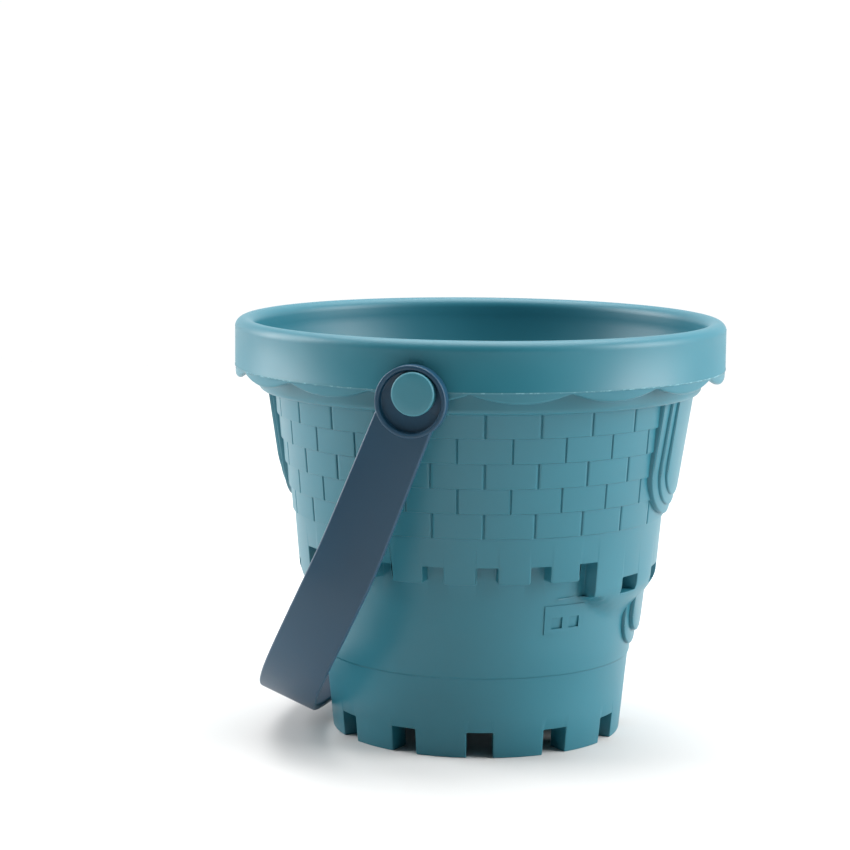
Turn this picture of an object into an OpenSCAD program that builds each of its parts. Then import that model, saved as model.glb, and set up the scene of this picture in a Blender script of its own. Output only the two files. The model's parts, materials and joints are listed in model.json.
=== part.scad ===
// Sand bucket shaped like an upside-down castle, with a snap-on strap handle.
// Origin: centre of the foot, on the ground. +Z up. The pivot axis runs along Y.

/* [Overall] */
// Height from the ground to the crest of the rim
bucket_h = 169; // [160:1:200]
// Outer radius of the rim skirt
rim_r = 100; // [92:1:125]
// Wall thickness of the moulding
wall = 2.2; // [1.6:0.1:2.6]

/* [Rim] */
// Radial width of the rolled rim
rim_roll_w = 8; // [7:0.5:10]
// Depth of the skirt from the crest to the tips between two scallops
skirt_h = 19.7; // [18:0.1:22]
// How far each scallop hangs below those tips
scallop_drop = 3.3; // [2:0.1:4]
// Number of scallops round the skirt
scallops = 16; // [8:4:24]
// Depth of the neck from the crest to the ledge over the bricks
neck_h = 28.9; // [28:0.1:32]
// Outer radius of that ledge
ledge_r = 90; // [88:0.5:92]

/* [Brick tier] */
// Outer radius of the bricks under the ledge
brick_r = 83.7; // [80:0.1:85]
// Height of one row of bricks
row_h = 9.92; // [8:0.01:11]
// Number of rows of bricks
rows = 5; // [4:1:5]
// Step inwards under each row
row_step = 0.8; // [0.4:0.1:1]
// Taper of the walls, in mm of radius per mm of height
draft = 0.085; // [0.06:0.005:0.1]
// Height of the plain band under the bricks, down to the battlement gaps
band_h = 11.6; // [8:0.1:13]

/* [Battlement] */
// Height of the teeth of the brick tier
merlon_h = 6.8; // [4:0.1:9]
// Width of the gap between two teeth
merlon_gap_w = 8.3; // [6:0.1:10]
// Angle between two teeth
merlon_pitch = 16.4; // [15:0.1:16.5]
// Extra depth of the gatehouse below the ordinary teeth
gatehouse_drop = 7.6; // [6:0.1:9]
// Angle between two gaps of the gatehouse
gate_pitch = 21; // [20:0.5:21.5]
// Width of a gap of the gatehouse
gate_gap_w = 11.5; // [8:0.1:13]

/* [Lower tiers] */
// Radial set-back of the middle tier behind the teeth
tier_step = 6.6; // [6:0.1:8]
// Height of the seam between the middle and the lowest tier
seam_z = 32.6; // [28:0.1:38]
// Height of the foot teeth that the bucket stands on
foot_h = 10.4; // [8:0.1:14]
// Radial depth of the foot teeth
foot_ring_w = 10; // [8:0.5:14]
// Width of the gap between two foot teeth
foot_gap_w = 10.5; // [8:0.5:14]
// Number of foot teeth
foot_teeth = 12; // [8:4:16]

/* [Door and windows] */
// Half the width of the door panel on each end
door_half_w = 26.3; // [22:0.1:30]
// How far the innermost door panel stands off the bricks
door_proud = 3.6; // [2.4:0.1:4.5]
// Half the width of the arched window under each gatehouse
arch_half_w = 14.4; // [12:0.1:17]
// How far the innermost window panel stands off the wall
arch_proud = 3.2; // [2:0.1:4]

/* [Pivot] */
// Depth of the pivot axis below the crest of the rim
pivot_drop = 19.3; // [18:0.1:21]
// Diameter of the pivot pin where the handle turns
shank_d = 8; // [7:0.1:9]
// Diameter of the pin's head
head_d = 16.5; // [15:0.1:17.5]
// Thickness of the pin's head
head_t = 3.6; // [3:0.1:4]
// Diameter of the spigot that is snapped into the bucket
spigot_d = 6; // [5:0.1:6.5]

/* [Handle] */
// Outer diameter of the hub collar
hub_d = 27.4; // [26:0.1:30]
// Diameter of the recess round the pin's head
recess_d = 23.6; // [23:0.1:24.5]
// Thickness of the strap and of the hub's floor
strap_t = 3; // [2.4:0.1:3.6]
// Height of the hub's collar over its floor
collar_h = 2.6; // [2:0.1:3.4]
// Width of the strap beside the hub
strap_w = 22.6; // [20:0.1:24]
// Width of the strap at the grip
grip_w = 24.8; // [22:0.1:26]
// Length of the straight legs below the pivot
leg_l = 77; // [74:1:90]
// Length of the handle from the pivot to the outer face of the grip
handle_l = 157.5; // [150:0.5:158]
// How far the grip is set out of the plane of the legs
grip_set = 16.4; // [15:0.1:20]
// Lean of the handle at rest, from straight down
rest_angle = 21.8; // [21.8:0.1:40]

/* [Hidden] */
$fn = 96;

eps = 0.02;
fit = 0.08;             // radial running clearance of the hub on the pin
side_gap = 0.3;         // clearance under the pin's head
skirt_gap = 0.7;        // clearance between the hub and the skirt
roll_r = rim_roll_w / 2;
crest_r = rim_r - roll_r;
mouth_r = rim_r - rim_roll_w;
skirt_set = 0.3;        // the scallops are set in a little below the parting line
parting_drop = 0.4;     // the parting line lies just under the tips between two scallops
ledge_z = bucket_h - neck_h;
cusp_z = bucket_h - skirt_h;
parting_z = cusp_z - parting_drop;
row_bottom = function (k) ledge_z - k * row_h;
// outer radius at the top of row k, counted from 0, and of the plain band when k = rows
row_top_r = function (k) brick_r - k * (row_h * draft + row_step);
band_z = row_bottom(rows);
gap_z = band_z - band_h;
tooth_z = gap_z - merlon_h;
gate_z = tooth_z - gatehouse_drop;
gate_gap_h = 6.2;
gate_gap_z = gate_z + gate_gap_h;
band_r = function (z) row_top_r(rows) - (band_z - z) * draft;
mid_draft = 0.108;      // the middle tier tapers more than the bricks
mid_r = function (z) band_r(tooth_z) - tier_step - (tooth_z - z) * mid_draft;
seam_step = 0.5;
low_draft = 0.1;
low_r = function (z) mid_r(seam_z) - seam_step - (seam_z - z) * low_draft;
blend_h = 11;
blend_z = gate_z - blend_h;  // the gatehouse runs out into the middle tier here

recess_h = foot_h + 0.6;     // the hollow under the foot is a little higher than its gaps
floor_z = recess_h + wall;   // inside floor

pivot_z = bucket_h - pivot_drop;
hub_in = rim_r + skirt_gap;         // inner face of the hub
floor_out = hub_in + strap_t;       // outer face of the hub's floor
head_in = floor_out + side_gap;     // underside of the pin's head
hub_shift = (recess_d - head_d) / 2 - 0.25;  // the head sits close to the top of the recess
boss_wall = 3;
boss_d = spigot_d + 2 * boss_wall;
set_start = leg_l - 17;      // the strap starts to set outwards here, measured down from the pivot

// nested panels: share of the half width, share of the stand-off, rise of the lower end
door_levels = [[1, 0.5, 0], [0.82, 0.76, 3.6], [0.665, 1, 7.8]];
door_round_h = 22;           // height of the rounded lower end of the outermost panel
door_lap = 1.7;              // gap between that end and the foot of the bricks
window_levels = [[1, 0.45, 0], [0.73, 1, 5.5]];
window_round_h = 12.5;
window_lift = 5;             // height of the arched window over the seam

// the small window: a thin frame with two sunk panes
pane_frame = [18.2, 11.5];
pane = [4.8, 4.4];
pane_pitch = 7.8;
pane_lift = 1.8;             // height of the panes over the bottom of the frame
pane_z = seam_z + 17.5;
pane_proud = 0.5;

// ---- helpers ----
// an arch with a round lower end, centred on x = 0, from y = top down to y = bottom
module arch(half_w, top, bottom, round_h) {
    steps = 16;
    polygon(concat(
        [[half_w, top]],
        [for (i = [0:steps]) let (a = 180 * i / steps)
            [half_w * cos(a), bottom + round_h - round_h * sin(a)]],
        [[-half_w, top]]));
}

// lays an outline flat on the side of the bucket: x runs round it, y runs up, at an angle from +X
module on_side(angle, r_in, r_out)
    rotate([0, 0, angle]) rotate([90, 0, 90]) translate([0, 0, r_in])
        linear_extrude(height = r_out - r_in) children();

module radial_box(angle, r_in, r_out, w, z0, z1)
    rotate([0, 0, angle]) translate([r_in, -w / 2, z0]) cube([r_out - r_in, w, z1 - z0]);

// angles of the battlement gaps; the outermost ones stand beside the gatehouses
gaps = [for (side = [-90, 90]) for (i = [-3:3]) side + i * merlon_pitch];

// ---- bucket ----
module brick_profile()
    polygon(concat(
        [[0, ledge_z], [row_top_r(0), ledge_z]],
        [for (k = [0:rows - 1]) each [
            [row_top_r(k) - row_h * draft, row_bottom(k + 1)],
            [row_top_r(k + 1), row_bottom(k + 1)]]],
        [[band_r(tooth_z), tooth_z], [0, tooth_z]]));

// rolled rim, skirt, neck and the shoulder over the bricks, as one ring
module rim_ring() {
    neck_top_r = mouth_r + wall;
    hollow_top = bucket_h - rim_roll_w + 1;
    roll_z = bucket_h - roll_r;
    rotate_extrude() {
        intersection() {
            translate([crest_r, roll_z]) circle(r = roll_r);
            translate([mouth_r - 1, roll_z]) square([rim_roll_w + 2, rim_roll_w]);
        }
        translate([mouth_r, hollow_top]) square([rim_roll_w, roll_z - hollow_top]);
        translate([rim_r - wall, parting_z]) square([wall, hollow_top - parting_z]);
        translate([rim_r - wall, cusp_z - scallop_drop])
            square([wall - skirt_set, scallop_drop - parting_drop]);
        polygon([
            [brick_r - 12, ledge_z], [ledge_r - 1.2, ledge_z], [ledge_r, ledge_z + 1.4],
            [ledge_r + 0.3, ledge_z + 3.5], [neck_top_r, hollow_top], [mouth_r, hollow_top],
            [ledge_r - wall, ledge_z + wall + 2], [ledge_r - wall - 1, ledge_z + wall],
            [brick_r - 12, ledge_z + wall]]);
    }
}

// what is cut away under the skirt between two scallops
module scallop_cut(angle) {
    half = 180 / scallops;
    chord = 2 * rim_r * sin(half);
    arc_r = (chord * chord / 4 + scallop_drop * scallop_drop) / (2 * scallop_drop);
    low_z = cusp_z - scallop_drop;
    steps = 8;
    left = [for (i = [1:steps]) let (x = -chord / 2 + chord / 2 * i / steps, d = x + chord / 2)
        [x, low_z + arc_r - sqrt(arc_r * arc_r - d * d)]];
    on_side(angle, rim_r - wall - 1.2, rim_r + 3)
        polygon(concat(left, [for (i = [steps - 1:-1:0]) [-left[i][0], left[i][1]]],
            [[chord / 2 - 1, low_z - 1], [1 - chord / 2, low_z - 1]]));
}

module door(angle) {
    for (l = door_levels) intersection() {
        on_side(angle, brick_r - 30, brick_r + 10)
            arch(door_half_w * l[0], ledge_z, band_z + door_lap + l[2], door_round_h * l[0]);
        rotate_extrude() polygon([
            [0, ledge_z], [brick_r + 0.4 + door_proud * l[1], ledge_z],
            [row_top_r(rows) + 0.9 + door_proud * l[1], band_z], [0, band_z]]);
    }
}

module arch_window(angle) {
    for (l = window_levels) intersection() {
        on_side(angle, mid_r(seam_z) - 20, mid_r(gate_z) + 12)
            arch(arch_half_w * l[0], gate_z + 1, seam_z + window_lift + l[2], window_round_h * l[0]);
        rotate_extrude() polygon([
            [0, gate_z + 1], [mid_r(gate_z) + arch_proud * l[1], gate_z + 1],
            [mid_r(seam_z) + arch_proud * l[1], seam_z], [0, seam_z]]);
    }
}

module pane_window(angle)
    intersection() {
        difference() {
            on_side(angle, mid_r(seam_z) - 10, mid_r(gap_z) + 5)
                translate([-pane_frame[0] / 2, pane_z]) square(pane_frame);
            for (side = [-1, 1])
                on_side(angle, mid_r(pane_z) - 1.5, mid_r(gap_z) + 6)
                    translate([(side * pane_pitch - pane[0]) / 2, pane_z + pane_lift]) square(pane);
        }
        rotate_extrude() polygon([
            [mid_r(gate_z) - 6, gate_z + 5], [mid_r(gate_z + 5) + pane_proud, gate_z + 5],
            [mid_r(seam_z) + pane_proud, seam_z], [mid_r(seam_z) - 6, seam_z]]);
    }

// the brick tier with its battlement cut from below
module brick_tier()
    difference() {
        rotate_extrude() brick_profile();
        for (a = gaps)
            radial_box(a, 0, rim_r, merlon_gap_w, tooth_z - 1, gap_z);
    }

// a gatehouse hangs lower than the ordinary teeth and runs out into the middle tier
module gatehouse(angle) {
    half = 90 - 3 * merlon_pitch;
    cut_r = mid_r(gate_z);
    intersection() {
        difference() {
            rotate_extrude() polygon([
                [0, tooth_z + eps], [band_r(tooth_z + eps), tooth_z + eps],
                [band_r(gate_z + 2), gate_z + 2], [band_r(gate_z) - 1.2, gate_z - 2],
                [mid_r(gate_z) + 2.5, gate_z - 6], [mid_r(blend_z), blend_z], [0, blend_z]]);
            for (i = [-1:1])
                radial_box(angle + i * gate_pitch, cut_r, rim_r, gate_gap_w, gate_z, gate_gap_z);
            for (side = [-1, 1])
                radial_box(angle + side * half, cut_r, rim_r, merlon_gap_w, blend_z - 1, tooth_z + 1);
        }
        rotate([0, 0, angle]) translate([0, 0, blend_z - 1])
            linear_extrude(height = tooth_z - blend_z + 2)
                polygon([[0, 0], [rim_r, -rim_r * tan(half)], [rim_r * 1.5, 0],
                    [rim_r, rim_r * tan(half)]]);
    }
}

module lower_tiers()
    difference() {
        rotate_extrude() polygon([
            [0, gap_z + wall], [mid_r(gap_z + wall), gap_z + wall], [mid_r(seam_z), seam_z],
            [low_r(seam_z), seam_z], [low_r(0), 0], [0, 0]]);
        translate([0, 0, -1]) cylinder(r = low_r(0) - foot_ring_w, h = recess_h + 1);
        for (i = [0:foot_teeth - 1])
            radial_box((i + 0.5) * 360 / foot_teeth, low_r(0) - foot_ring_w - 4, rim_r,
                foot_gap_w, -1, foot_h);
    }

// the space inside, which follows the outside one wall thickness in
module cavity() {
    in_z = gap_z + wall;
    rotate_extrude() polygon([
        [0, ledge_z + wall + 1], [brick_r - row_step - wall, ledge_z + wall + 1],
        [brick_r - row_step - wall, ledge_z - 1],
        [row_top_r(rows) - wall, band_z], [band_r(in_z) - wall, in_z],
        [mid_r(in_z) - wall, in_z], [mid_r(seam_z) - wall - seam_step, seam_z + 1],
        [low_r(floor_z) - wall, floor_z], [0, floor_z]]);
    // pockets of the teeth
    tooth_w = 2 * PI * band_r(tooth_z) * merlon_pitch / 360 - merlon_gap_w - 2 * wall;
    for (side = [-90, 90]) for (i = [-2.5:1:2.5])
        intersection() {
            radial_box(side + i * merlon_pitch, mid_r(tooth_z) - wall - 3, band_r(tooth_z),
                tooth_w, tooth_z + wall, in_z + 1);
            cylinder(r = band_r(tooth_z) - wall, h = bucket_h);
        }
    foot_w = 2 * PI * low_r(0) / foot_teeth - foot_gap_w - 2 * wall;
    for (i = [0:foot_teeth - 1]) intersection() {
        radial_box(i * 360 / foot_teeth, low_r(0) - foot_ring_w + wall, low_r(0), foot_w,
            wall, floor_z + 1);
        cylinder(r = low_r(0) - wall, h = bucket_h);
    }
}

// a boss grows out of the leaning wall behind the skirt and ends inside it
module pivot_boss(side) {
    low_z = ledge_z + wall + 2;
    difference() {
        translate([0, side * (rim_r - wall / 2), pivot_z]) rotate([side * 90, 0, 0])
            cylinder(d = boss_d, h = rim_r - ledge_r);
        translate([0, 0, low_z]) cylinder(r1 = ledge_r - wall / 2, r2 = mouth_r + wall / 2,
            h = bucket_h - rim_roll_w + 1 - low_z);
    }
}

module spigot_bore(side)
    translate([0, side * (rim_r + 1), pivot_z]) rotate([side * 90, 0, 0])
        cylinder(d = spigot_d, h = rim_roll_w);

module bucket_body() {
    color("#6fa6b4") difference() {
        union() {
            difference() {
                rim_ring();
                for (i = [0:scallops - 1]) scallop_cut(90 + (i + 0.5) * 360 / scallops);
            }
            brick_tier();
            lower_tiers();
            for (end = [0, 180]) {
                gatehouse(end);
                door(end);
                arch_window(end);
            }
            for (a = [45:90:315]) pane_window(a);
            for (side = [-1, 1]) pivot_boss(side);
        }
        cavity();
        for (side = [-1, 1]) spigot_bore(side);
    }
}

// ---- pins ----
module pivot_pin(side) {
    bevel = 0.7;
    shoulder = head_in + head_t - rim_r;    // where the shank meets the skirt
    tip = shoulder + rim_roll_w - 1.5;
    color("#5f98a8") translate([0, side * (head_in + head_t), pivot_z]) rotate([side * 90, 0, 0])
        rotate_extrude() polygon([
            [0, 0], [head_d / 2 - bevel, 0], [head_d / 2, bevel], [head_d / 2, head_t],
            [shank_d / 2, head_t], [shank_d / 2, shoulder], [spigot_d / 2, shoulder],
            [spigot_d / 2, tip], [0, tip]]);
}

// ---- handle, modelled hanging straight down from the pivot and then leaned ----
// outline of the strap seen along X: legs, then half an ellipse
module strap_outline(half_span, reach) {
    steps = 32;
    polygon(concat(
        [[half_span, -hub_shift]],
        [for (i = [0:steps]) let (a = 180 * i / steps)
            [half_span * cos(a), -leg_l - (reach - leg_l) * sin(a)]],
        [[-half_span, -hub_shift]]));
}

// outline of the strap seen along the pivot axis, with the set of the grip
module strap_side() {
    steps = 16;
    flare = function (s) strap_w / 2 + (grip_w - strap_w) / 2 * min(1, s / leg_l);
    set = function (s)
        s < set_start ? 0 : grip_set * pow((s - set_start) / (handle_l - set_start), 2);
    s_at = function (i) (handle_l + 2) * i / steps;
    polygon(concat(
        [for (i = [0:steps]) [flare(s_at(i)) - set(s_at(i)), -s_at(i)]],
        [for (i = [steps:-1:0]) [-flare(s_at(i)) - set(s_at(i)), -s_at(i)]]));
}

module hub(side)
    rotate([side * 90, 0, 0]) mirror([0, 0, 1]) translate([0, -side * hub_shift, hub_in])
        cylinder(d = hub_d, h = strap_t + collar_h);

module hub_cuts(side)
    rotate([side * 90, 0, 0]) mirror([0, 0, 1]) {
        translate([0, 0, hub_in - 1]) cylinder(d = shank_d + 2 * fit, h = strap_t + 2);
        translate([0, -side * hub_shift, floor_out]) cylinder(d = recess_d, h = collar_h + 1);
    }

module handle() {
    strap_out = floor_out + 0.4;            // outer face of the strap, just proud of the hub's floor
    room_x = grip_w / 2 + grip_set + 2;
    color("#2f4a60") translate([0, 0, pivot_z]) rotate([0, rest_angle, 0]) difference() {
        union() {
            intersection() {
                translate([-room_x, 0, 0]) rotate([90, 0, 90]) linear_extrude(height = 2 * room_x)
                    difference() {
                        strap_outline(strap_out, handle_l);
                        strap_outline(strap_out - strap_t, handle_l - strap_t);
                    }
                rotate([90, 0, 0]) translate([0, 0, -rim_r - 20])
                    linear_extrude(height = 2 * rim_r + 40) strap_side();
            }
            for (side = [-1, 1]) hub(side);
        }
        for (side = [-1, 1]) hub_cuts(side);
    }
}

bucket_body();
handle();
pivot_pin(-1);  // front_pivot_pin
pivot_pin(1);  // rear_pivot_pin
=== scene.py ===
# %% [markdown]
# # A castle sand bucket
# A beach bucket is one hollow moulding of polypropylene with thin walls, a strap handle of the
# same plastic, and two headed pins that the strap turns on. The moulding is an upside-down
# castle: a rolled rim with a scalloped skirt, a tier of bricks with a battlement, and two plain
# tiers below it. Round work like this starts on a lathe, so the body is one outline spun round
# the upright axis, and the battlement, the brick joints and the doors are then cut and added
# with closed cutters, as a mould maker does it.

# %% The fixed frame
import json
import math

import bpy
from mathutils import Matrix, Vector

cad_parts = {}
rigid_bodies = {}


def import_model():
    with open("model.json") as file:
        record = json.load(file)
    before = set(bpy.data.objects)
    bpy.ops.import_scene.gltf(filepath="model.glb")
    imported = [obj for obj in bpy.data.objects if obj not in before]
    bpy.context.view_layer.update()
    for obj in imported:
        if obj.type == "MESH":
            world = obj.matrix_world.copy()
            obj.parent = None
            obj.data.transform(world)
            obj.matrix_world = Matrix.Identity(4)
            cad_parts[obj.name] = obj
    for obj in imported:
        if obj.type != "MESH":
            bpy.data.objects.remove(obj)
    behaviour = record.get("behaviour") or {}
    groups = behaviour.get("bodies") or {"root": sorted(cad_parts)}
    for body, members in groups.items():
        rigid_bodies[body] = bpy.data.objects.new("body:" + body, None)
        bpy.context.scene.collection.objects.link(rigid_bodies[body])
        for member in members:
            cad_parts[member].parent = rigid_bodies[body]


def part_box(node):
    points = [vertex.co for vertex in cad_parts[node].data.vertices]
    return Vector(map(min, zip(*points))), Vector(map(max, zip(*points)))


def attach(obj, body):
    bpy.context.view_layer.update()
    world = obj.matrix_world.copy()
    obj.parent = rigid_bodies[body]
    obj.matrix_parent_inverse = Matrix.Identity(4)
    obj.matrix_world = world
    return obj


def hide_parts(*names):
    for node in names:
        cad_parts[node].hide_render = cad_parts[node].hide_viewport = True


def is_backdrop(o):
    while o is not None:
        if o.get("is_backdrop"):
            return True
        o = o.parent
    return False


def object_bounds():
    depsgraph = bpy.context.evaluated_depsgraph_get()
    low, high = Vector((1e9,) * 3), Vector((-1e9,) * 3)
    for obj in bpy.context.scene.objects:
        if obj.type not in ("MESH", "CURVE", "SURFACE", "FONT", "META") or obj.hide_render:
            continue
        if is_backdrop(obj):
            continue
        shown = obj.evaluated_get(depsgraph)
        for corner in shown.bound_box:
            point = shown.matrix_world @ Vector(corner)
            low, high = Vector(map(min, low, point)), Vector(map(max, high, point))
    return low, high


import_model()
cad_low, cad_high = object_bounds()
MM = 0.001
body_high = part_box("bucket_body")[1]
pin_low, pin_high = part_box("front_pivot_pin")
HEIGHT = body_high.z / MM
RIM_R = body_high.x / MM
PIVOT_Z = (pin_low.z + pin_high.z) / 2 / MM
HEAD_D = (pin_high.z - pin_low.z) / MM
HEAD_FACE = -pin_low.y / MM
print(f"bucket {HEIGHT:.1f} mm high, {2 * RIM_R:.1f} mm across, pivot at {PIVOT_Z:.1f} mm")

# %% [markdown]
# ## A few tools for the hand
# Every outline here is drawn in the same way: one vertex, extruded from point to point. A closed
# outline that is spun right round is a solid, and spun part of the way it is a cutter with the
# same curve as the wall that it cuts. Booleans with closed solids keep the wall closed, which
# matters for a thing that is meant to hold water.

# %% Selecting and drawing
def only(piece):
    """Makes piece the one selected and active object, in object mode."""
    if bpy.context.object and bpy.context.object.mode != "OBJECT":
        bpy.ops.object.mode_set(mode="OBJECT")
    bpy.ops.object.select_all(action="DESELECT")
    piece.select_set(True)
    bpy.context.view_layer.objects.active = piece


def draw_line(name, points):
    """A line of vertices through points in millimetres, each extruded from the one before."""
    if bpy.context.object and bpy.context.object.mode != "OBJECT":
        bpy.ops.object.mode_set(mode="OBJECT")
    bpy.ops.object.select_all(action="DESELECT")
    bpy.ops.mesh.primitive_plane_add(size=MM)
    piece = bpy.context.object
    piece.name = piece.data.name = name
    places = [Vector(p) * MM for p in points]
    bpy.ops.object.mode_set(mode="EDIT")
    bpy.ops.mesh.select_mode(type="VERT")
    bpy.ops.mesh.select_all(action="SELECT")
    bpy.ops.mesh.merge(type="CENTER")
    bpy.ops.transform.translate(value=places[0])
    for start, end in zip(places, places[1:]):
        bpy.ops.mesh.extrude_region_move(TRANSFORM_OT_translate={"value": end - start})
    return piece


def tidy(piece, gap=0.02):
    """Merges doubled vertices, turns the faces outwards and goes back to object mode."""
    only(piece)
    bpy.ops.object.mode_set(mode="EDIT")
    bpy.ops.mesh.select_all(action="SELECT")
    bpy.ops.mesh.remove_doubles(threshold=gap * MM)
    bpy.ops.mesh.normals_make_consistent(inside=False)
    bpy.ops.object.mode_set(mode="OBJECT")
    return piece


def pick_faces(piece, wanted):
    """Selects the faces for which wanted(face) is true, and goes to edit mode."""
    only(piece)
    bpy.ops.object.mode_set(mode="EDIT")
    bpy.ops.mesh.select_mode(type="FACE")
    bpy.ops.mesh.select_all(action="DESELECT")
    bpy.ops.object.mode_set(mode="OBJECT")
    for face in piece.data.polygons:
        face.select = wanted(face)
    bpy.ops.object.mode_set(mode="EDIT")


def pick_edges(piece, wanted):
    """Selects the edges for which wanted(one end, other end) is true, and goes to edit mode."""
    only(piece)
    bpy.ops.object.mode_set(mode="EDIT")
    bpy.ops.mesh.select_mode(type="EDGE")
    bpy.ops.mesh.select_all(action="DESELECT")
    bpy.ops.object.mode_set(mode="OBJECT")
    places = [v.co for v in piece.data.vertices]
    for edge in piece.data.edges:
        edge.select = wanted(*(places[i] for i in edge.vertices))
    bpy.ops.object.mode_set(mode="EDIT")


def turned(name, outline, steps=360):
    """A solid of revolution from an outline of (radius, height) that starts and ends on the axis."""
    piece = draw_line(name, [(r, 0, z) for r, z in outline])
    bpy.ops.mesh.select_all(action="SELECT")
    bpy.ops.mesh.spin(steps=steps, angle=2 * math.pi, center=(0, 0, 0), axis=(0, 0, 1))
    return tidy(piece)


def sector(name, outline, half_angle, steps):
    """A curved block: a closed outline of (radius, height) swept round +X by half_angle each way."""
    piece = draw_line(name, [(r, 0, z) for r, z in outline])
    bpy.ops.mesh.select_all(action="SELECT")
    bpy.ops.mesh.edge_face_add()
    bpy.ops.mesh.spin(steps=steps, angle=math.radians(2 * half_angle), center=(0, 0, 0), axis=(0, 0, 1))
    tidy(piece)
    middle = sum((v.co for v in piece.data.vertices), Vector())
    piece.data.transform(Matrix.Rotation(-math.atan2(middle.y, middle.x), 4, "Z"))
    return piece


# %% Copying, joining and cutting
def around(piece, angles):
    """Copies of piece at angles round the bucket, joined into one object. Angle 0 is the front pin."""
    only(piece)
    shape = piece.data
    turns = [Matrix.Rotation(math.radians(a - 90), 4, "Z") for a in angles]
    for turn in turns[1:]:
        copy = piece.copy()
        copy.data = shape.copy()
        copy.data.transform(turn)
        bpy.context.scene.collection.objects.link(copy)
        copy.select_set(True)
    shape.transform(turns[0])
    if len(turns) > 1:
        bpy.ops.object.join()
    return piece


def combine(piece, tool, operation):
    """Cuts tool from piece (DIFFERENCE) or adds it (UNION), and removes the tool."""
    only(piece)
    step = piece.modifiers.new(operation, "BOOLEAN")
    step.operation = operation
    step.solver = "MANIFOLD"
    step.object = tool
    bpy.ops.object.modifier_apply(modifier=step.name)
    bpy.data.objects.remove(tool)
    return piece


def soften(piece, width, segments=2, angle=32, gap=0.04):
    """Rounds the sharp edges by width in millimetres and shades the rest smooth."""
    tidy(piece, gap)
    step = piece.modifiers.new("edges", "BEVEL")
    step.width = width * MM
    step.segments = segments
    step.limit_method = "ANGLE"
    step.angle_limit = math.radians(angle)
    step.use_clamp_overlap = False
    step.miter_outer = "MITER_ARC"
    bpy.ops.object.modifier_apply(modifier=step.name)
    bpy.ops.object.shade_smooth_by_angle(angle=math.radians(40))
    return piece


# %% [markdown]
# ## Sizes of the moulding
# The heights follow the bucket from the rim down. The wall leans in by a fixed taper, and every
# row of bricks is set in a little further than the row above it, so that a sand castle slides
# out of the bucket when it is turned over.

# %% Sizes in millimetres
WALL = 2.2
ROLL_R = 4.0
CREST_R = RIM_R - ROLL_R
MOUTH_R = RIM_R - 2 * ROLL_R
CUSP_Z = HEIGHT - 19.7
SCALLOP_DROP = 3.9
SCALLOPS = 16
PARTING_Z = CUSP_Z + 0.5
LEDGE_Z = HEIGHT - 28.9
LEDGE_R = 90.0
BRICK_R = 83.7
ROW_H = 9.92
ROWS = 5
ROW_STEP = 0.8
DRAFT = 0.085
BRICKS = 24
BAND_Z = LEDGE_Z - ROWS * ROW_H
GAP_Z = BAND_Z - 11.6
TOOTH_Z = GAP_Z - 6.8
GATE_Z = TOOTH_Z - 7.6
BLEND_Z = GATE_Z - 13.4
SEAM_Z = 32.6
RECESS_Z = 11.0
FLOOR_Z = RECESS_Z + WALL
FOOT_W = 10.0
TOOTH_PITCH = 16.4
FACING = (90, 270)


def row_r(k):
    """Outer radius at the top of brick row k; for k = ROWS, of the plain band below the rows."""
    return BRICK_R - k * (ROW_H * DRAFT + ROW_STEP)


def band_r(z):
    return row_r(ROWS) - (BAND_Z - z) * DRAFT


def mid_r(z):
    return band_r(TOOTH_Z) - 6.6 - (TOOTH_Z - z) * 0.108


def low_r(z):
    return mid_r(SEAM_Z) - 0.5 - (SEAM_Z - z) * 0.1


print(f"bricks from {LEDGE_Z:.1f} to {BAND_Z:.1f}, teeth down to {TOOTH_Z:.1f}, seam at {SEAM_Z:.1f}")

# %% [markdown]
# ## The turned body
# The outline runs from the middle of the inside floor up the inside wall, over the rolled rim,
# down the skirt, back up to the neck behind it, and down the outside to the foot. The whole
# lower edge of the brick tier is turned at the depth of the gatehouses first, with the smooth
# run-out of their feet, because a lathe can't stop part of the way round; a cutter takes it back
# to the middle tier between them.

# %% Outline and spin
def arc(cx, cz, r, start, end, steps):
    return [(cx + r * math.cos(math.radians(start + (end - start) * i / steps)),
             cz + r * math.sin(math.radians(start + (end - start) * i / steps)))
            for i in range(steps + 1)]


def ease(t):
    t = min(1.0, max(0.0, t))
    return t * t * (3 - 2 * t)


def inside():
    """The inner wall, one wall thickness in from the outside."""
    in_z = GAP_Z + WALL
    corner = low_r(FLOOR_Z) - WALL
    return [(0, FLOOR_Z), (20, FLOOR_Z), (40, FLOOR_Z), *arc(corner - 3, FLOOR_Z + 3, 3, -90, 0, 4),
            (mid_r(SEAM_Z) - WALL - 0.5, SEAM_Z + 1), (mid_r(in_z) - WALL, in_z),
            (band_r(in_z) - WALL - 0.4, in_z), (band_r(in_z) - WALL, in_z + 0.5),
            (row_r(ROWS) - WALL, BAND_Z), (BRICK_R - ROW_STEP - WALL, LEDGE_Z + WALL - 0.8),
            (BRICK_R - ROW_STEP - WALL + 0.8, LEDGE_Z + WALL),
            (LEDGE_R - WALL - 1, LEDGE_Z + WALL), (LEDGE_R - WALL, LEDGE_Z + WALL + 2)]


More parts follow.
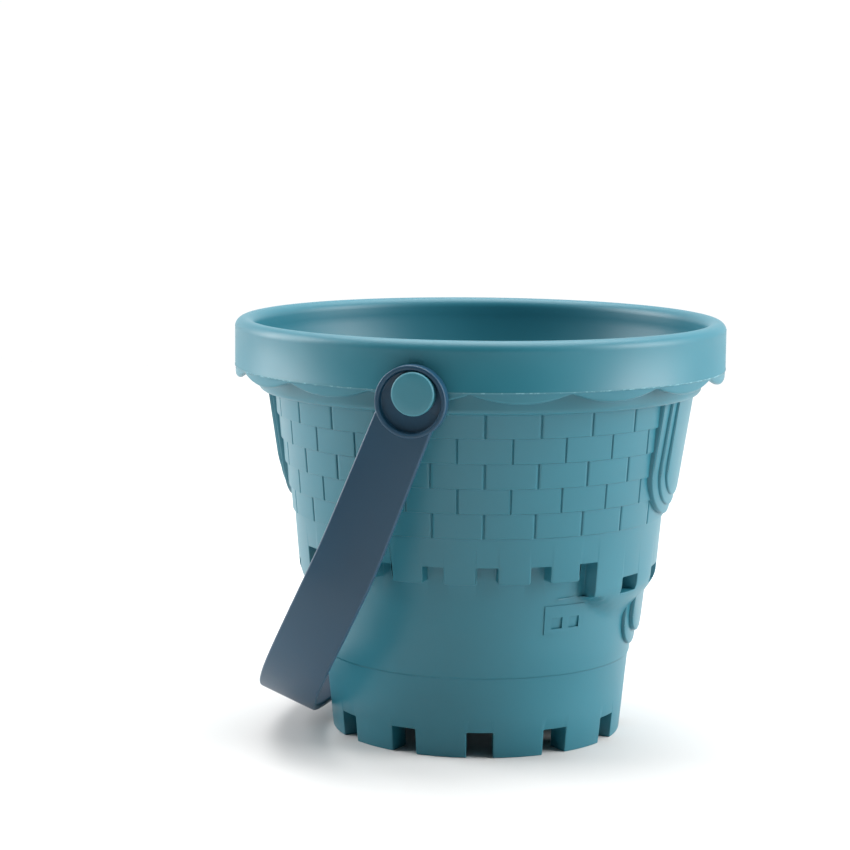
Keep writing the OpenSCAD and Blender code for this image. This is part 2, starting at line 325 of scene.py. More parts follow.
def rim():
    """The rolled rim, the skirt and its parting line, and the neck and ledge behind it."""
    skirt_r = RIM_R - 0.12
    hollow_z = HEIGHT - 2 * ROLL_R + 1
    inner = RIM_R - WALL
    low = CUSP_Z - SCALLOP_DROP
    return [(MOUTH_R, hollow_z - 3), (MOUTH_R, hollow_z),
            *arc(CREST_R, HEIGHT - ROLL_R, ROLL_R, 180, 12, 14),
            (skirt_r, HEIGHT - ROLL_R), (skirt_r, PARTING_Z + 0.35), (RIM_R, PARTING_Z + 0.12),
            (RIM_R, PARTING_Z - 0.1), (RIM_R - 0.35, PARTING_Z - 0.35),
            (RIM_R - 0.35, low + 0.8), (RIM_R - 1.05, low), (inner + 0.3, low), (inner, low + 0.3),
            (inner, hollow_z - 1), (inner - 1, hollow_z), (MOUTH_R + WALL + 0.8, hollow_z),
            (MOUTH_R + WALL, hollow_z - 0.8), (LEDGE_R + 0.3, LEDGE_Z + 3.5),
            (LEDGE_R + 0.35, LEDGE_Z + 2.2), (LEDGE_R + 0.05, LEDGE_Z + 1.1),
            (LEDGE_R - 0.6, LEDGE_Z + 0.3), (LEDGE_R - 1.4, LEDGE_Z)]


def outside():
    """The bricks, the band, the battlement at its full depth, the lower tiers and the foot."""
    rows = []
    for k in range(ROWS):
        top = LEDGE_Z - k * ROW_H
        rows += [(row_r(k), top), (row_r(k) - ROW_H * DRAFT, top - ROW_H)]
    foot_in = low_r(0) - FOOT_W
    start = GATE_Z + 3
    levels = [GATE_Z + dz for dz in (3, 1.5, 0.1, 0, -1.8, -3.8, -5.8, -7.8, -9.8, -11.8)]
    shares = [1 - ease((start - z) / (start - BLEND_Z)) for z in levels]
    run_out = [(mid_r(z) + (band_r(z) - mid_r(z)) * share, z) for z, share in zip(levels, shares)]
    return [*rows, (row_r(ROWS), BAND_Z), *run_out,
            (mid_r(BLEND_Z), BLEND_Z), (mid_r(45), 45), (mid_r(SEAM_Z + 0.25), SEAM_Z + 0.25),
            (low_r(SEAM_Z), SEAM_Z), (low_r(16), 16), (low_r(0), 0),
            (foot_in, 0), (foot_in, RECESS_Z - 0.8), (foot_in - 0.8, RECESS_Z), (25, RECESS_Z),
            (0, RECESS_Z)]


body = turned("bucket_shell", inside() + rim() + outside())
print(f"turned body: {len(body.data.polygons)} faces")

# %% [markdown]
# ## Scallops, and how the gatehouse runs out
# Two shapes change as you go round: the lower edge of the skirt, which hangs in sixteen scallops,
# and the foot of each gatehouse, which swells out of the middle tier without an edge. Both are
# rows of the lathe work that are shifted by a formula of the angle, which keeps the rows even.

# %% Shifting rows
def bearing(x, y):
    """Angle in degrees from the front pin, counted towards +X."""
    return math.degrees(math.atan2(x, -y))


def hang_scallops(piece):
    pitch = 360 / SCALLOPS
    count = 0
    for v in piece.data.vertices:
        r = math.hypot(v.co.x, v.co.y) / MM
        z = v.co.z / MM
        if r > RIM_R - WALL - 0.1 and CUSP_Z - SCALLOP_DROP - 0.1 < z < PARTING_Z - 0.2:
            off = (bearing(v.co.x, v.co.y) + pitch / 2) % pitch / (pitch / 2) - 1
            share = 0.04 + 0.96 * (1 - off * off)
            v.co.z = (PARTING_Z - 0.35 - (PARTING_Z - 0.35 - z) * share) * MM
            count += 1
    print(f"scallops: {count} vertices shifted")


def fade_gatehouse(piece):
    count = 0
    for v in piece.data.vertices:
        r = math.hypot(v.co.x, v.co.y) / MM
        z = v.co.z / MM
        if BLEND_Z + 0.1 < z < GATE_Z + 0.05 and r > mid_r(z) - 0.01:
            off = abs(abs(bearing(v.co.x, v.co.y)) - 90)
            fall = (GATE_Z - z) / (GATE_Z - BLEND_Z)
            low_off, high_off = 36.5 - 26 * fall, 39.5 - 14 * fall
            share = ease((high_off - off) / (high_off - low_off))
            new_r = mid_r(z) + (r - mid_r(z)) * share
            v.co.x *= new_r / r
            v.co.y *= new_r / r
            count += 1
    print(f"gatehouse foot: {count} vertices shifted")


hang_scallops(body)
fade_gatehouse(body)

# %% [markdown]
# ## The battlement
# Between the gatehouses the battlement has ordinary teeth. What is missing there is one block
# with a crenellated top, so that block is made as the cutter. Its inner face is spun in strips,
# narrow ones at the gaps and wide ones at the teeth, the strips above a tooth are deleted, and
# what is left is extruded outwards. The radial edges at the lower corners of the teeth are
# bevelled, which rounds those corners. The two outermost gaps stand beside the gatehouses and
# end lower down.

# %% Cutting between the teeth
GAP = 6.4
TOOTH = TOOTH_PITCH - GAP
TEETH = 6
SLOT_Z = GATE_Z - 0.06
CUT_OUT = 1.32
CORNER_R = 1.0
TEETH_HALF = TEETH / 2 * TOOTH_PITCH + GAP / 2
GATE_GAP_HALF = 4.4
GATE_GAP_PITCH = 21


def cutter_strips():
    """(start angle, width, is it a gap) of each strip, from one gatehouse to the other."""
    strips, start = [], -TEETH_HALF
    for i in range(2 * TEETH + 1):
        width = GAP if i % 2 == 0 else TOOTH
        strips.append((start, width, i % 2 == 0))
        start += width
    return strips


def battlement_cutter(name):
    heights = (GATE_Z - 4.5, SLOT_Z, TOOTH_Z, GAP_Z)
    inset = (0.06, -0.02, -0.02, -0.02)
    shape = draw_line(name, [(mid_r(z) + off, 0, z) for z, off in zip(heights, inset)])
    bpy.ops.mesh.select_all(action="SELECT")
    for _start, width, _gap in cutter_strips():
        bpy.ops.mesh.spin(steps=round(width), angle=math.radians(width), center=(0, 0, 0), axis=(0, 0, 1))
    bpy.ops.object.mode_set(mode="OBJECT")
    bearings = [math.degrees(math.atan2(v.co.y, v.co.x)) for v in shape.data.vertices]
    middle = (min(bearings) + max(bearings)) / 2
    shape.data.transform(Matrix.Rotation(math.radians(-middle), 4, "Z"))

    def surplus(face):
        angle = math.degrees(math.atan2(face.center.y, face.center.x))
        z = face.center.z / MM
        start, width, gap = [strip for strip in cutter_strips() if strip[0] <= angle][-1]
        slot = gap and abs(start + width / 2) > (TEETH - 1) / 2 * TOOTH_PITCH
        return (z > TOOTH_Z and not gap) or (z < SLOT_Z and slot)

    pick_faces(shape, surplus)
    bpy.ops.mesh.delete(type="FACE")
    bpy.ops.mesh.select_all(action="SELECT")
    bpy.ops.mesh.extrude_region_move()
    bpy.ops.transform.resize(value=(CUT_OUT, CUT_OUT, 1), center_override=(0, 0, 0))
    tidy(shape)
    ends = [start for start, _, _ in cutter_strips()[1:]]

    def corner(one, other):
        angle = math.degrees(math.atan2(one.y, one.x))
        level = abs(one.z - other.z) < 0.01 * MM and abs(one.z / MM - TOOTH_Z) < 0.01
        return level and (one - other).length > 10 * MM and min(abs(angle - e) for e in ends) < 0.01

    pick_edges(shape, corner)
    bpy.ops.mesh.bevel(offset=CORNER_R * MM, segments=3, affect="EDGES")
    bpy.ops.object.mode_set(mode="OBJECT")
    return shape


def cut_battlement(piece):
    for middle in (0, 180):
        combine(piece, around(battlement_cutter("battlement"), [middle]), "DIFFERENCE")
    low, top = GATE_Z - 0.4, GATE_Z + 6.2
    section = [(mid_r(low) + 0.2, low), (LEDGE_R, low), (LEDGE_R, top), (mid_r(top) + 0.2, top)]
    for middle in FACING:
        for i in (-1, 0, 1):
            gap = sector("gate_gap", section, GATE_GAP_HALF, 4)
            combine(piece, around(gap, [middle + i * GATE_GAP_PITCH]), "DIFFERENCE")


cut_battlement(body)
print(f"battlement: {len(body.data.polygons)} faces")

# %% [markdown]
# ## Foot, pockets and pivot bosses
# The foot is a ring of twelve teeth, cut by straight slots, and the teeth are hollow from the
# inside, as are those of the battlement. Behind the skirt a round boss on each side carries the
# pin, with a bore for its spigot. Then every edge is rounded a little, as it is in a mould that
# is milled and blasted.

# %% Blocks at +X
def block(name, r_in, r_out, width, low, top, lean=0.0):
    """A box across +X; lean is how far its top stands further out than its bottom."""
    bpy.ops.object.select_all(action="DESELECT")
    bpy.ops.mesh.primitive_cube_add(size=1, location=((r_in + r_out) / 2 * MM, 0, (low + top) / 2 * MM))
    piece = bpy.context.object
    piece.name = name
    piece.dimensions = ((r_out - r_in) * MM, width * MM, (top - low) * MM)
    bpy.ops.object.transform_apply(location=True, rotation=True, scale=True)
    for v in piece.data.vertices:
        if v.co.z > (low + top) / 2 * MM:
            v.co.x += lean * MM
    return piece


def rod(name, d, y0, y1):
    """A round bar along Y at the height of the pivot."""
    bpy.ops.object.select_all(action="DESELECT")
    bpy.ops.mesh.primitive_cylinder_add(vertices=64, radius=d / 2 * MM, depth=abs(y1 - y0) * MM,
                                        location=(0, (y0 + y1) / 2 * MM, PIVOT_Z * MM),
                                        rotation=(math.pi / 2, 0, 0))
    piece = bpy.context.object
    piece.name = name
    bpy.ops.object.transform_apply(location=True, rotation=True, scale=True)
    return piece


FOOT_TEETH = 12
FOOT_GAP_W = 10.5
FOOT_GAP_H = 10.4
BOSS_D = 12
BORE_D = 6.05


def cut_foot(piece):
    pitch = 360 / FOOT_TEETH
    slot = block("foot_slot", low_r(0) - FOOT_W - 4, low_r(0) + 13, FOOT_GAP_W, -1, FOOT_GAP_H)
    combine(piece, around(slot, [90 + pitch * (i + 0.5) for i in range(FOOT_TEETH)]), "DIFFERENCE")
    width = 2 * math.pi * low_r(0) / FOOT_TEETH - FOOT_GAP_W - 2 * WALL
    pocket = block("foot_pocket", low_r(0) - FOOT_W + WALL, low_r(0) - WALL - 0.6, width, WALL, FLOOR_Z + 1)
    combine(piece, around(pocket, [90 + pitch * i for i in range(FOOT_TEETH)]), "DIFFERENCE")


def cut_tooth_pockets(piece):
    gap_w = 8.3
    width = math.radians(TOOTH_PITCH) * band_r(TOOTH_Z) - gap_w - 2 * WALL
    in_z = GAP_Z + WALL
    pocket = block("tooth_pocket", mid_r(TOOTH_Z) - WALL - 1.5, band_r(TOOTH_Z) - WALL - 0.3,
                   width, TOOTH_Z + WALL, in_z + 0.6)
    turns = [middle + (i - (TEETH - 1) / 2) * TOOTH_PITCH for middle in (0, 180) for i in range(TEETH)]
    combine(piece, around(pocket, turns), "DIFFERENCE")


def fit_bosses(piece):
    low, top = LEDGE_Z + WALL + 2, HEIGHT - 2 * ROLL_R + 1
    for side in (-1, 1):
        boss = rod("boss", BOSS_D, side * (LEDGE_R - WALL / 2), side * (RIM_R - WALL + 0.9))
        core = turned("core", [(0, low), (LEDGE_R - WALL / 2, low), (MOUTH_R + WALL / 2, top), (0, top)], 180)
        combine(boss, core, "DIFFERENCE")
        combine(piece, boss, "UNION")
        bore = rod("bore", BORE_D, side * (LEDGE_R + 1.5), side * (RIM_R + 2))
        combine(piece, bore, "DIFFERENCE")


cut_foot(body)
cut_tooth_pockets(body)
fit_bosses(body)
soften(body, 0.36)
print(f"softened body: {len(body.data.polygons)} faces")

# %% [markdown]
# ## Brick joints
# The upright joints are narrow grooves, fifteen degrees apart, and every other row is shifted by
# half a brick. They are a little shallower than the step from one row to the next. They are cut
# after the edges are rounded, with a cutter that already has the soft section of the groove. The
# lowest row has no joint under the middle of a door.

# %% Cutting the joints
GROOVE = [(0.3, 0.8), (0.02, 0.6), (-0.14, 0.4), (-0.4, 0.25), (-0.55, 0.08)]


def joint_cutter(k):
    """The groove's section at the top of brick row k, extruded down along the leaning wall."""
    top = LEDGE_Z - k * ROW_H - 0.08
    height = ROW_H + 0.16
    half = [(row_r(k) + depth, y, top) for depth, y in GROOVE]
    cutter = draw_line("joint", half + [(x, -y, z) for x, y, z in reversed(half)])
    bpy.ops.mesh.select_all(action="SELECT")
    bpy.ops.mesh.edge_face_add()
    down = (-height * DRAFT * MM, 0, -height * MM)
    bpy.ops.mesh.extrude_region_move(TRANSFORM_OT_translate={"value": down})
    return tidy(cutter)


def cut_joints(piece):
    cutters = []
    for k in range(ROWS):
        first = 0 if k % 2 == 0 else 180 / BRICKS
        bearings = [first + i * 360 / BRICKS for i in range(BRICKS)]
        if k == ROWS - 1:
            bearings = [b for b in bearings if b not in FACING]
        cutters.append(around(joint_cutter(k), bearings))
    only(cutters[0])
    for cutter in cutters:
        cutter.select_set(True)
    bpy.ops.object.join()
    combine(piece, cutters[0], "DIFFERENCE")


cut_joints(body)
print(f"brick joints: {len(body.data.polygons)} faces")

# %% [markdown]
# ## Doors and windows
# On each end a door of three nested panels stands off the bricks, and an arched window of two
# panels hangs under the gatehouse. A panel is a row of upright strips whose lower ends follow
# half an ellipse; it is given a thickness, laid on the cone of the wall, and its front edge is
# bevelled before it is added to the wall. Four faint windows with two sunk panes each sit on
# the middle tier.

# %% Raised panels
def panel(name, half_w, top, bottom, round_h, r_top, r_bottom, depth, bevel=0.5, strips=28):
    """A panel at +X between two heights, with a rounded lower end and its face on a cone."""
    bpy.ops.object.select_all(action="DESELECT")
    bpy.ops.mesh.primitive_grid_add(x_subdivisions=strips, y_subdivisions=1, size=2)
    piece = bpy.context.object
    piece.name = name
    for v in piece.data.vertices:
        turn = (v.co.x + 1) / 2 * math.pi
        y = -half_w * math.cos(turn)
        z = top if v.co.y > 0 else bottom + round_h * (1 - math.sin(turn))
        v.co = Vector((0, y, z)) * MM
    bpy.ops.object.mode_set(mode="EDIT")
    bpy.ops.mesh.select_all(action="SELECT")
    bpy.ops.mesh.extrude_region_move(TRANSFORM_OT_translate={"value": (-depth * MM, 0, 0)})
    bpy.ops.object.mode_set(mode="OBJECT")
    for v in piece.data.vertices:
        y, z = v.co.y / MM, v.co.z / MM
        r = r_bottom + (r_top - r_bottom) * (z - bottom) / (top - bottom)
        v.co.x += math.sqrt(r * r - y * y) * MM
    tidy(piece)

    def in_front(face):
        r = math.hypot(face.center.x, face.center.y) / MM
        here = r_bottom + (r_top - r_bottom) * (face.center.z / MM - bottom) / (top - bottom)
        return abs(r - here) < 0.35 and abs(face.normal.x) > 0.5

    pick_faces(piece, in_front)
    bpy.ops.mesh.region_to_loop()
    bpy.ops.mesh.bevel(offset=bevel * MM, segments=2, affect="EDGES")
    bpy.ops.object.mode_set(mode="OBJECT")
    return piece


DOOR_LEVELS = [(26.3, 1.2, 1.8), (21.5, 4.8, 2.8), (17.5, 9.0, 3.7)]
DOOR_ROUND = 22 / 26.3
WINDOW_LEVELS = [(14.4, 0.0, 1.4), (10.6, 5.5, 3.1)]
WINDOW_ROUND = 12.5 / 14.4
PANE_AT = (45, 135, 225, 315)


def add_door(piece):
    """Nested panels on both ends; a level is half its width, the lift of its foot and its stand-off."""
    for i, (half_w, lift, proud) in enumerate(DOOR_LEVELS):
        low = BAND_Z + 0.5 + lift
        top = LEDGE_Z + 0.9 + 0.1 * i
        height = top - low
        slope = (BRICK_R - row_r(ROWS) - 0.6) / (LEDGE_Z - BAND_Z)
        r_low = row_r(ROWS) + 0.6 + proud + slope * (low - BAND_Z)
        door = panel("door", half_w, top, low, DOOR_ROUND * half_w, r_low + slope * height, r_low,
                     2.4 + 0.6 * i)
        combine(piece, around(door, FACING), "UNION")


def add_arch_window(piece):
    for i, (half_w, lift, proud) in enumerate(WINDOW_LEVELS):
        low = SEAM_Z + 5.2 + lift
        top = GATE_Z - 0.9 - 0.3 * i
        window = panel("arch_window", half_w, top, low, WINDOW_ROUND * half_w,
                       mid_r(top) + proud, mid_r(low) + proud, proud + 1.2, 0.4, 24)
        combine(piece, around(window, FACING), "UNION")


def add_small_windows(piece):
    low, top = SEAM_Z + 17.4, SEAM_Z + 28.9
    frame_r = mid_r(low) + 0.35
    window = sector("small_window", [(frame_r - 1.5, low), (frame_r, low),
                                     (mid_r(top) + 0.35, top), (mid_r(top) - 1.0, top)], 7.95, 8)
    combine(piece, around(window, PANE_AT), "UNION")
    panes = []
    for middle in PANE_AT:
        for off in (-3.15, 3.75):
            pane = sector("pane", [(mid_r(low) - 0.2, low + 2.1), (mid_r(low) + 4, low + 2.1),
                                   (mid_r(low) + 4, low + 6.6), (mid_r(low + 6.6) - 0.15, low + 6.6)], 2.1, 3)
            side = 1 if middle % 180 == 45 else -1
            panes.append(around(pane, [middle + side * off]))
    only(panes[0])
    for pane in panes:
        pane.select_set(True)
    bpy.ops.object.join()
    combine(piece, panes[0], "DIFFERENCE")


add_door(body)
add_arch_window(body)
add_small_windows(body)
tidy(body, 0.005)
bpy.ops.object.shade_smooth_by_angle(angle=math.radians(48))
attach(body, "bucket")
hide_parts("bucket_body")
triangles = sum(len(p.vertices) - 2 for p in body.data.polygons)
print(f"bucket shell: {len(body.data.polygons)} faces, {triangles} triangles")

# %% [markdown]
# ## The two pins
# A pin is turned: a flat head with a rounded edge, a shank that the handle turns on and a
# thinner spigot that is pressed into the boss. It is a plain lathe job on its own axis, which is
# then laid along the pivot.

# %% Turning a pin
HEAD_T = 3.6
SPIGOT_L = 6.5
SPIGOT_R = 3
SHANK_R = 4


def make_pin(side):
    shank = HEAD_FACE - HEAD_T
    tip = RIM_R - SPIGOT_L
    bevel = 0.8
    edge = [(HEAD_D / 2 - bevel + bevel * math.sin(math.radians(a)),
             HEAD_FACE - bevel + bevel * math.cos(math.radians(a))) for a in (0, 30, 60, 90)]
    outline = [(0, tip), (SPIGOT_R, tip), (SPIGOT_R, RIM_R), (SHANK_R, RIM_R), (SHANK_R, shank),
               (HEAD_D / 2 - 0.3, shank), (HEAD_D / 2, shank + 0.3),
               *reversed(edge), (HEAD_D / 4, HEAD_FACE), (0, HEAD_FACE)]
    name = "pin_front" if side < 0 else "pin_rear"
    pin = turned(name, outline, 96)
    lay = Matrix.Translation((0, 0, PIVOT_Z * MM)) @ Matrix.Rotation(-side * math.pi / 2, 4, "X")
    pin.data.transform(lay)
    only(pin)
    bpy.ops.object.shade_smooth_by_angle(angle=math.radians(35))
    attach(pin, "bucket")
    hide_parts("front_pivot_pin" if side < 0 else "rear_pivot_pin")
    return pin


pins = [make_pin(side) for side in (-1, 1)]
print(f"pins: {len(pins[0].data.polygons)} faces each")

# %% [markdown]
# ## The handle
# The handle is a flat strap, bent into a bow, with a shallow cup at each end that hides the edge
# of the pin's head. Its centre line is drawn in the plane of the pivot, extruded across to a
# ribbon, widened and set outwards towards the grip, and given its thickness. The cups are discs
# with an inset and sunk face.

# %% Sizes of the handle
STRAP_T = 3.0
HUB_IN = RIM_R + 0.7
FLOOR_OUT = HUB_IN + STRAP_T
COLLAR_H = 2.6
HUB_D = 27.4
RECESS_D = 23.6
HUB_SHIFT = (RECESS_D - HEAD_D) / 2 - 0.25
STRAP_W = 22.6
GRIP_W = 24.8
LEG_L = 77.0
HANDLE_L = 157.5
GRIP_SET = 16.4
REST_ANGLE = 21.8


def grip_set(s):
    """How far the strap stands out of the plane of its legs, at s below the pivot."""
    start = LEG_L - 17
    return 0 if s < start else GRIP_SET * ((s - start) / (HANDLE_L - start)) ** 2


def strap_half(s):
    return STRAP_W / 2 + (GRIP_W - STRAP_W) / 2 * min(1, s / LEG_L)


# %% The strap
def make_strap():
    span = FLOOR_OUT + 0.4 - STRAP_T / 2
    reach = HANDLE_L - STRAP_T / 2
    leg = [HUB_SHIFT + (LEG_L - HUB_SHIFT) * i / 8 for i in range(8)]
    bow = [(span * math.cos(math.radians(a)), -LEG_L - (reach - LEG_L) * math.sin(math.radians(a)))
           for a in range(0, 181, 3)]
    line = [(span, -s) for s in leg] + bow + [(-span, -s) for s in reversed(leg)]
    strap = draw_line("handle_strap", [(0, y, z) for y, z in line])
    bpy.ops.mesh.select_all(action="SELECT")
    bpy.ops.mesh.extrude_region_move(TRANSFORM_OT_translate={"value": (2 * MM, 0, 0)})
    bpy.ops.object.mode_set(mode="OBJECT")
    for v in strap.data.vertices:
        s = -v.co.z / MM
        side = 1 if v.co.x > MM else -1
        v.co.x = (side * strap_half(s) - grip_set(s)) * MM
    tidy(strap)
    thick = strap.modifiers.new("thickness", "SOLIDIFY")
    thick.thickness = STRAP_T * MM
    thick.offset = 0
    thick.use_even_offset = True
    bpy.ops.object.modifier_apply(modifier=thick.name)
    step = strap.modifiers.new("edges", "BEVEL")
    step.width = 0.9 * MM
    step.segments = 3
    step.limit_method = "ANGLE"
    step.angle_limit = math.radians(50)
    bpy.ops.object.modifier_apply(modifier=step.name)
    return strap


def make_hub(side):
    """A cup with its open face outwards, round the pin on one side."""
    depth = STRAP_T + COLLAR_H
    bpy.ops.object.select_all(action="DESELECT")
    bpy.ops.mesh.primitive_cylinder_add(vertices=128, radius=HUB_D / 2 * MM, depth=depth * MM,
                                        location=(0, 0, (HUB_IN + depth / 2) * MM))
    hub = bpy.context.object
    hub.name = "hub"
    bpy.ops.object.transform_apply(location=True)
    pick_faces(hub, lambda face: face.normal.z > 0.9)
    bpy.ops.mesh.inset(thickness=(HUB_D - RECESS_D) / 2 * MM)
    bpy.ops.mesh.extrude_region_move(TRANSFORM_OT_translate={"value": (0, 0, -COLLAR_H * MM)})
    bpy.ops.object.mode_set(mode="OBJECT")
    step = hub.modifiers.new("edges", "BEVEL")
    step.width = 0.55 * MM
    step.segments = 3
    step.limit_method = "ANGLE"
    step.angle_limit = math.radians(50)
    only(hub)
    bpy.ops.object.modifier_apply(modifier=step.name)
    lay = Matrix.Translation((0, 0, -HUB_SHIFT * MM)) @ Matrix.Rotation(-side * math.pi / 2, 4, "X")
    hub.data.transform(lay)
    return hub


def make_handle():
    handle = make_strap()
    for side in (-1, 1):
        recess = turned("recess", [(0, FLOOR_OUT), (RECESS_D / 2 + 0.3, FLOOR_OUT),
                                   (RECESS_D / 2 + 0.3, FLOOR_OUT + 4), (0, FLOOR_OUT + 4)], 128)
        recess.data.transform(Matrix.Translation((0, 0, -HUB_SHIFT * MM))
                              @ Matrix.Rotation(-side * math.pi / 2, 4, "X"))
        combine(handle, recess, "DIFFERENCE")
        combine(handle, make_hub(side), "UNION")
        bore = rod("bore", 8.16, side * (HUB_IN - 2), side * (FLOOR_OUT + 2))
        bore.data.transform(Matrix.Translation((0, 0, -PIVOT_Z * MM)))
        combine(handle, bore, "DIFFERENCE")
    lean = Matrix.Rotation(math.radians(REST_ANGLE), 4, "Y")
    handle.data.transform(Matrix.Translation((0, 0, PIVOT_Z * MM)) @ lean)
    tidy(handle, 0.01)
    bpy.ops.object.shade_smooth_by_angle(angle=math.radians(35))
    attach(handle, "handle")
    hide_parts("handle")
    return handle


handle = make_handle()
print(f"handle: {len(handle.data.polygons)} faces")

# %% [markdown]
# ## Finishes
# The whole bucket is injection-moulded polypropylene with a satin face: the mould is blasted
# finely, so highlights are broad and soft. The colour is through the plastic and slightly
# uneven where the melt flowed. A broken line of flash runs round the skirt, where the two
# halves of the mould part, and a pale highlight is painted along it.

# %% Node helper and colour
def linear(hex_colour):
    """An sRGB hex colour as linear RGBA."""
    parts = [int(hex_colour[i:i + 2], 16) / 255 for i in (1, 3, 5)]
    return [c / 12.92 if c <= 0.04045 else ((c + 0.055) / 1.055) ** 2.4 for c in parts] + [1]


def node(tree, kind, links=None, **settings):
    """Adds a node, sets its properties or sockets by name, and links sockets to other outputs."""
    made = tree.nodes.new(kind)
    for name, value in settings.items():
        if hasattr(made, name):
            setattr(made, name, value)
        else:
            made.inputs[name.replace("_", " ")].default_value = value
    for socket, source in (links or {}).items():
        tree.links.new(source, made.inputs[socket])
    return made


# %% The painted highlight on the parting line
def parting_line_highlight(tree, place, line_z):
    """1 on the broken line of flash round the skirt at line_z millimetres, where a pale highlight is painted;
    0 elsewhere.
    """
    height = node(tree, "ShaderNodeSeparateXYZ", {"Vector": place}).outputs["Z"]
    line = node(tree, "ShaderNodeMath", {0: height}, operation="COMPARE")
    line.inputs[1].default_value = line_z * MM
    line.inputs[2].default_value = 0.22 * MM
    reach = node(tree, "ShaderNodeVectorMath", {0: place}, operation="LENGTH").outputs["Value"]
    outer = node(tree, "ShaderNodeMath", {0: reach}, operation="GREATER_THAN")
    outer.inputs[1].default_value = math.hypot(RIM_R - 1.5, line_z) * MM
    patchy = node(tree, "ShaderNodeTexNoise", {"Vector": place}, Scale=1 / (1.6 * MM), Detail=1.0)
    specks = node(tree, "ShaderNodeMapRange", {"Value": patchy.outputs["Fac"]}, From_Min=0.5, From_Max=0.68,
                  To_Min=0.22, To_Max=0.75)
    both = node(tree, "ShaderNodeMath", {0: line.outputs[0], 1: outer.outputs[0]}, operation="MULTIPLY")
    return node(tree, "ShaderNodeMath", {0: both.outputs[0], 1: specks.outputs["Result"]},
                operation="MULTIPLY").outputs[0]


# %% Satin moulded polypropylene
def satin_polypropylene(name, colour, deep, grain_mm=0.35, flow_mm=38, roughness=0.42, line_z=None):
    """Satin plastic: two near colours mixed by the flow of the melt, and a fine blasted grain."""
    made = bpy.data.materials.new(name)
    made.use_nodes = True
    tree = made.node_tree
    tree.nodes.clear()
    place = node(tree, "ShaderNodeTexCoord").outputs["Object"]
    flow = node(tree, "ShaderNodeTexNoise", {"Vector": place}, Scale=1 / (flow_mm * MM), Detail=3.0,
                Roughness=0.5)
    tint = node(tree, "ShaderNodeValToRGB", {"Fac": flow.outputs["Fac"]})
    tint.color_ramp.elements[0].position = 0.3
    tint.color_ramp.elements[0].color = linear(deep)
    tint.color_ramp.elements[1].position = 0.7
    tint.color_ramp.elements[1].color = linear(colour)
    grain = node(tree, "ShaderNodeTexNoise", {"Vector": place}, Scale=1 / (grain_mm * MM), Detail=2.0)
    shine = node(tree, "ShaderNodeMapRange", {"Value": flow.outputs["Fac"]}, From_Min=0.3, From_Max=0.7,
                 To_Min=roughness - 0.04, To_Max=roughness + 0.04)
    bump = node(tree, "ShaderNodeBump", {"Height": grain.outputs["Fac"]}, Strength=0.12, Distance=0.05 * MM)
    colour_out = tint.outputs["Color"]
    # A pale highlight is painted along the broken line of flash at the parting line.
    if line_z is not None:
        pale = node(tree, "ShaderNodeMix", {"Factor": parting_line_highlight(tree, place, line_z), 6: colour_out},
                    data_type="RGBA")
        pale.inputs[7].default_value = linear("#86BCC8")
        colour_out = pale.outputs[2]
    shader = node(tree, "ShaderNodeBsdfPrincipled",
                  {"Base Color": colour_out, "Roughness": shine.outputs["Result"],
                   "Normal": bump.outputs["Normal"]})
    shader.inputs["IOR"].default_value = 1.49
    node(tree, "ShaderNodeOutputMaterial", {"Surface": shader.outputs["BSDF"]})
    return made


# The shell's material carries the painted highlight along the parting line at PARTING_Z.
shell_plastic = satin_polypropylene("satin_polypropylene_sea_blue", "#246F7F", "#216A7A", line_z=PARTING_Z)
pin_plastic = satin_polypropylene("satin_polypropylene_pin", "#3B7E8D", "#377887")
strap_plastic = satin_polypropylene("satin_polypropylene_navy", "#103F58", "#0E3A52")
for piece, finish in [(body, shell_plastic), (handle, strap_plastic), *((p, pin_plastic) for p in pins)]:
    piece.data.materials.clear()
    piece.data.materials.append(finish)

# %% [markdown]
# ## Floor, light and camera
# The bucket stands on a plain pale floor with a white backdrop behind it and an open, darker
# room in front. Two large soft lamps stand at the sides and one hangs above and behind, so the
# sides and the rim are bright and the front is in soft shade.

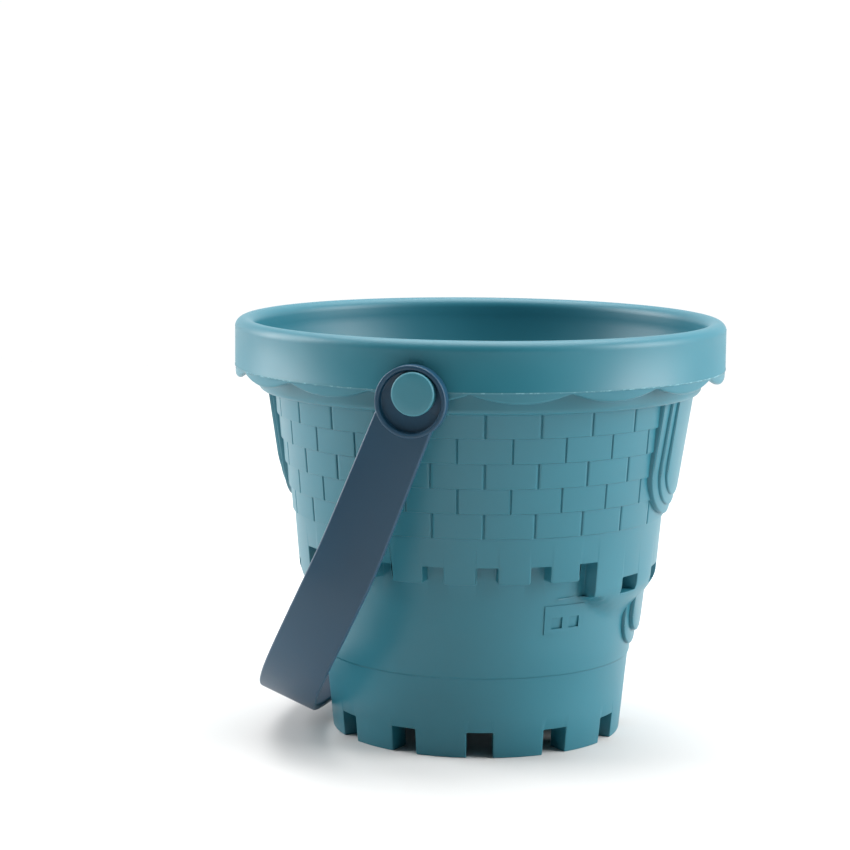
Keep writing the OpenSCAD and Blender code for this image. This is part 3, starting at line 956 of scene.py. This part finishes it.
# %% Floor and world
def make_floor():
    bpy.ops.object.select_all(action="DESELECT")
    bpy.ops.mesh.primitive_plane_add(size=2.4)
    floor = bpy.context.object
    floor.name = "floor"
    made = bpy.data.materials.new("pale_floor")
    made.use_nodes = True
    shader = made.node_tree.nodes["Principled BSDF"]
    shader.inputs["Base Color"].default_value = linear("#D6D6D5")
    shader.inputs["Roughness"].default_value = 0.75
    floor.data.materials.append(made)
    floor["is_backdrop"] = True


make_floor()
world = bpy.data.worlds.new("studio")
bpy.context.scene.world = world
world.use_nodes = True
sky = world.node_tree
toward = node(sky, "ShaderNodeSeparateXYZ", {"Vector": node(sky, "ShaderNodeTexCoord").outputs["Generated"]})
depth = node(sky, "ShaderNodeMapRange", {"Value": toward.outputs["Y"]}, From_Min=-0.7, From_Max=0.6,
             To_Min=0.06, To_Max=1.05)
sky.nodes["Background"].inputs["Color"].default_value = linear("#FBFCFD")
sky.links.new(depth.outputs["Result"], sky.nodes["Background"].inputs["Strength"])
bpy.context.scene.view_settings.view_transform = "Standard"


# %% Lamps
def soft_lamp(name, place, aim, size, power):
    data = bpy.data.lights.new(name, "AREA")
    data.shape = "RECTANGLE"
    data.size, data.size_y = size
    data.energy = power
    lamp = bpy.data.objects.new(name, data)
    bpy.context.scene.collection.objects.link(lamp)
    lamp.location = place
    lamp.rotation_euler = (Vector(aim) - Vector(place)).to_track_quat("-Z", "Y").to_euler()


soft_lamp("left", (-1.3, -0.05, 0.6), (0, 0, 0.09), (0.9, 1.1), 22)
soft_lamp("right", (1.4, 0.1, 0.6), (0, 0, 0.09), (0.9, 1.1), 26)
soft_lamp("above", (0, 0.35, 1.9), (0, 0, 0.1), (2.2, 2.0), 56)

# %% Camera
def make_camera():
    """Stands in front, a little to the right of the pivot, and looks slightly down."""
    yaw, pitch, roll = (math.radians(a) for a in (-14.63, 7.69, -0.51))
    forward = Vector((math.sin(yaw) * math.cos(pitch), math.cos(yaw) * math.cos(pitch), -math.sin(pitch)))
    right = forward.cross(Vector((0, 0, 1))).normalized()
    up = right.cross(forward)
    across = right * math.cos(roll) - up * math.sin(roll)
    upright = up * math.cos(roll) + right * math.sin(roll)
    data = bpy.data.cameras.new("camera")
    data.lens = 107.94
    data.sensor_width = 36
    camera = bpy.data.objects.new("camera", data)
    bpy.context.scene.collection.objects.link(camera)
    turn = Matrix((across, upright, -forward)).transposed().to_4x4()
    camera.matrix_world = Matrix.Translation((0.2404, -1.0090, HEIGHT * MM + 0.0954)) @ turn
    bpy.context.scene.camera = camera


make_camera()

# %% Sizes against the frame
seen_low, seen_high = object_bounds()
grown = [[round(v / MM, 2) for v in side] for side in (cad_low - seen_low, seen_high - cad_high)]
print("grown by", *grown)
